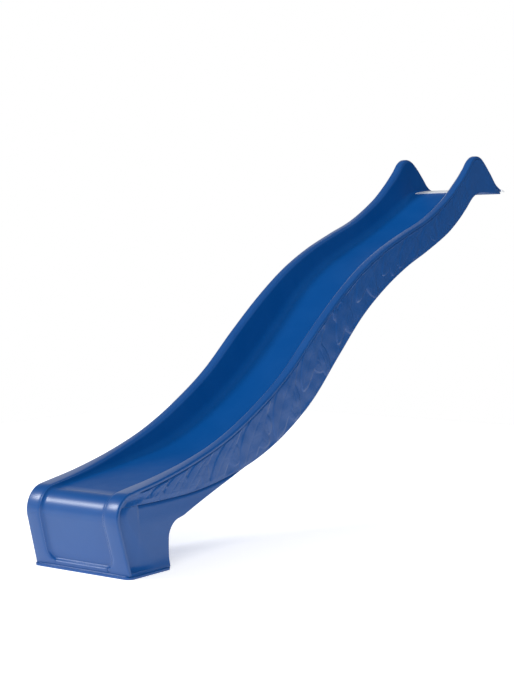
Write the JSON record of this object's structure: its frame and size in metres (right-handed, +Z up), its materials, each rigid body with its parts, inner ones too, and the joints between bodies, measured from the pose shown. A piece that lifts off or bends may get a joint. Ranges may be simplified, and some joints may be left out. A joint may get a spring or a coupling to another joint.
{
  "type": "wave slide",
  "caption": "Hollow plastic wave slide with rolled rims, leaf-relief side walls, two hand guards, a fixing lip for a platform and a moulded foot.",
  "frame": {"origin": "middle of the slide's length and width, on the ground", "axes": "+X along the ground from the exit towards the platform, +Y across the slide to the rider's right, +Z up"},
  "size_m": [3.0918, 0.472, 1.6733],
  "materials": {
    "slide_plastic": "semi-gloss moulded polyethylene, fine grain, slightly worn on the bed",
    "underside_plastic": "satin moulded polyethylene",
    "strip_metal": "satin bent sheet with rounded edges",
    "bush_metal": "zinc plated",
    "rivet_metal": "plain dome-head rivets",
    "web_plastic": "moulded polyethylene, inside the body",
    "plug_plastic": "satin moulded polyethylene"
  },
  "bodies": {
    "root": {"sliding_shell": "slide_plastic", "left_side_wall": "slide_plastic", "right_side_wall": "slide_plastic", "underside_skin": "underside_plastic", "left_foot_skirt": "slide_plastic", "right_foot_skirt": "slide_plastic", "foot_back_panel": "underside_plastic", "foot_base": "slide_plastic", "lip_underside": "underside_plastic", "lip_strip": "strip_metal", "lip_bushes": "bush_metal", "strip_rivets": "rivet_metal", "bed_webs": "web_plastic", "vent_plugs": "plug_plastic"}
  },
  "joints": []
}
